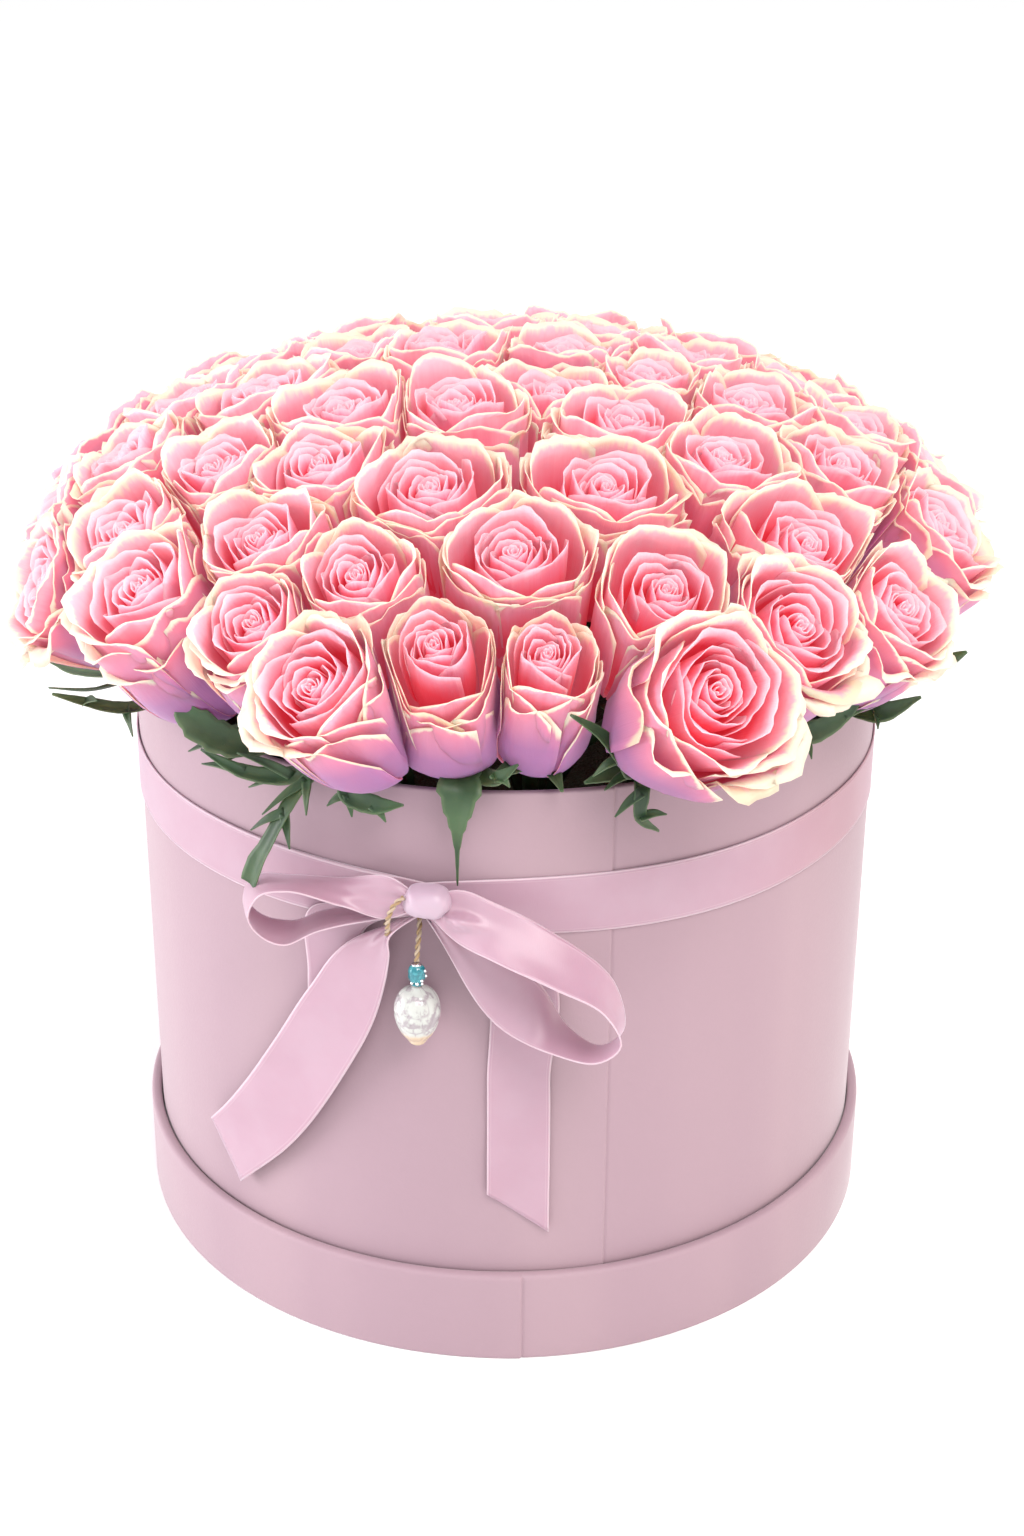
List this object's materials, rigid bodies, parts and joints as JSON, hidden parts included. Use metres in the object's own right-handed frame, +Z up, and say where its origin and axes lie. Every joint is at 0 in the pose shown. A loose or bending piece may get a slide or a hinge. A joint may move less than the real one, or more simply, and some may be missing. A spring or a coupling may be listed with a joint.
{
  "type": "rose box",
  "caption": "Round lidless hat box filled with a low dome of cut roses, tied round with a satin ribbon that ends in a bow with long tails and a small hanging pendant.",
  "frame": {"origin": "centre of the underside of the box, on the ground", "axes": "+Z up along the axis of the box, -Y towards the viewer, where the rim of the pictured front is, and +X to the viewer's right"},
  "size_m": [0.3375, 0.3446, 0.314],
  "materials": {
    "wrap": "matte dusty pink covering over board",
    "liner": "thin dull film",
    "foam": "wet porous floral foam",
    "satin": "satin weave with a soft sheen and bright selvedges",
    "cord": "twisted beige and gold thread",
    "bead": "glossy turquoise with silver flecks",
    "pearl": "crumpled pearly white",
    "petal": "soft living petals, pale pink with cream edges and deeper pink grooves",
    "green": "living green stems, sepals and leaves, slightly waxy"
  },
  "bodies": {
    "root": {"box_base": "wrap", "box_wall": "wrap", "liner": "liner", "ribbon_band": "satin", "ribbon_bow": "satin", "pendant_cord": "cord", "pendant_bead": "bead", "pendant_drop": "pearl", "floral_foam": "foam", "rim_rose_01_bloom": "petal", "rim_rose_01_stem": "green", "rim_rose_02_bloom": "petal", "rim_rose_02_stem": "green", "rim_rose_03_bloom": "petal", "rim_rose_03_stem": "green", "rim_rose_04_bloom": "petal", "rim_rose_04_stem": "green", "rim_rose_05_bloom": "petal", "rim_rose_05_stem": "green", "rim_rose_06_bloom": "petal", "rim_rose_06_stem": "green", "rim_rose_07_bloom": "petal", "rim_rose_07_stem": "green", "rim_rose_08_bloom": "petal", "rim_rose_08_stem": "green", "rim_rose_09_bloom": "petal", "rim_rose_09_stem": "green", "rim_rose_10_bloom": "petal", "rim_rose_10_stem": "green", "rim_rose_11_bloom": "petal", "rim_rose_11_stem": "green", "rim_rose_12_bloom": "petal", "rim_rose_12_stem": "green", "rose_bunch_01_bloom": "petal", "rose_bunch_01_stem": "green", "rose_bunch_02_bloom": "petal", "rose_bunch_02_stem": "green", "rose_bunch_03_bloom": "petal", "rose_bunch_03_stem": "green", "rose_bunch_04_bloom": "petal", "rose_bunch_04_stem": "green", "rose_bunch_05_bloom": "petal", "rose_bunch_05_stem": "green", "rose_bunch_06_bloom": "petal", "rose_bunch_06_stem": "green", "rose_bunch_07_bloom": "petal", "rose_bunch_07_stem": "green", "rose_bunch_08_bloom": "petal", "rose_bunch_08_stem": "green", "rose_bunch_09_bloom": "petal", "rose_bunch_09_stem": "green", "rose_bunch_10_bloom": "petal", "rose_bunch_10_stem": "green", "rose_bunch_11_bloom": "petal", "rose_bunch_11_stem": "green", "rose_bunch_12_bloom": "petal", "rose_bunch_12_stem": "green", "rose_bunch_13_bloom": "petal", "rose_bunch_13_stem": "green"}
  },
  "joints": []
}
